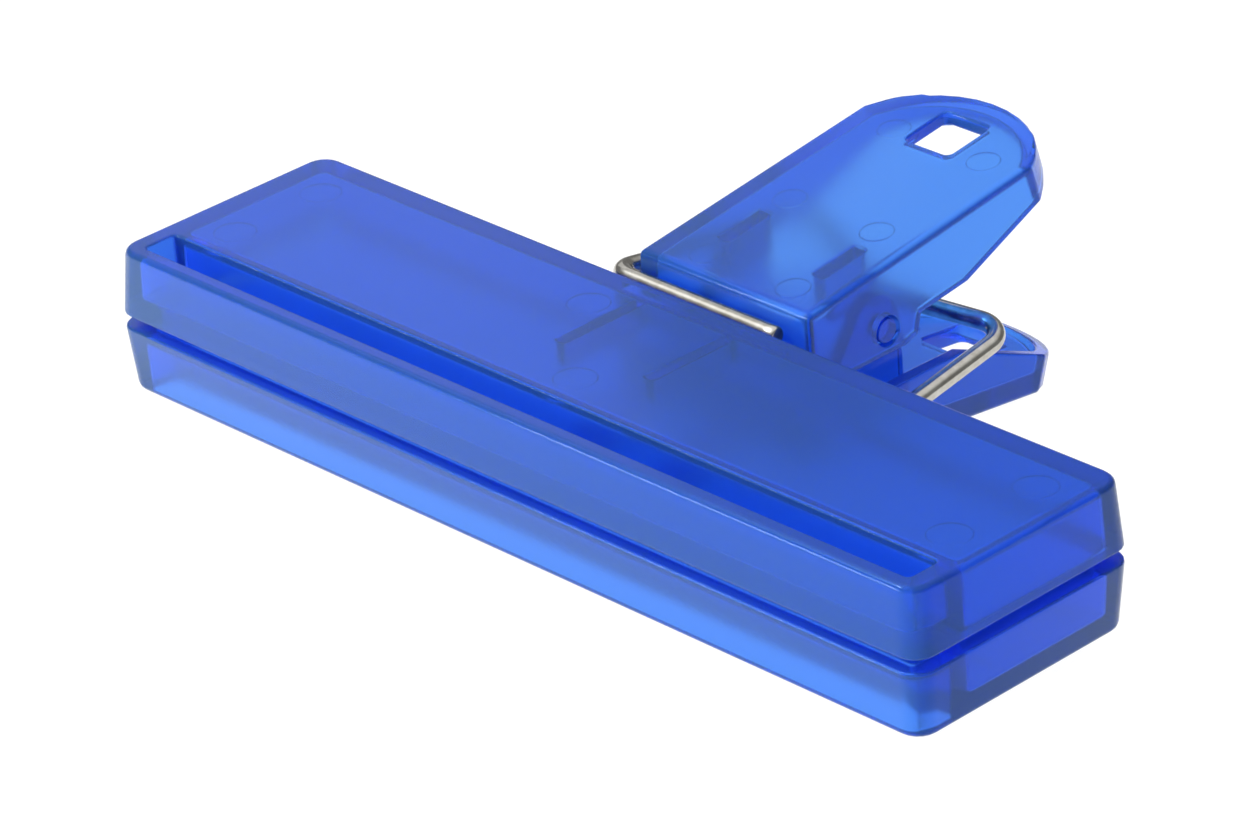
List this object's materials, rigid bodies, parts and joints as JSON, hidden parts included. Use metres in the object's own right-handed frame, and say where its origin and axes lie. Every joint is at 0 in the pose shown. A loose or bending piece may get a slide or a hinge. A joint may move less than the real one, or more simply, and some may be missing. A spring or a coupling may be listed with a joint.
{
  "type": "bag clip",
  "caption": "Bag clip: long hollow moulded jaw bars that pivot on stubs between their grips, held shut by one bent wire spring seated in grooves behind the bars.",
  "frame": {"origin": "middle of the lower jaw bar's flat outer face", "axes": "+X along the jaw bars, +Y from the bars towards the grips, +Z from the lower jaw to the upper jaw"},
  "size_m": [0.1016, 0.0658, 0.0253],
  "materials": {
    "blue_plastic": "glossy, translucent",
    "nickel_wire": "bright drawn wire"
  },
  "bodies": {
    "lower_half": {"lower_jaw": "blue_plastic", "spring_lower_arm": "nickel_wire"},
    "upper_half": {"upper_jaw": "blue_plastic"},
    "upper_spring": {"spring_upper_arm": "nickel_wire"}
  },
  "joints": [
    {"name": "jaw_hinge", "type": "hinge", "parent": "lower_half", "child": "upper_half", "pos_m": [0, 0.0256, 0.01005], "axis": [-1, 0, 0], "range_deg": [0, 11], "stiffness_Nm_per_rad": 0.7, "springref_deg": -16.39},
    {"name": "spring_upper_hinge", "type": "hinge", "parent": "lower_half", "child": "upper_spring", "pos_m": [0, 0.03524, 0.00715], "axis": [-1, 0, 0], "range_deg": [0, 6.3]}
  ],
  "couplings": [
    {"joint": "spring_upper_hinge", "follows": "jaw_hinge", "ratio": 0.545}
  ]
}
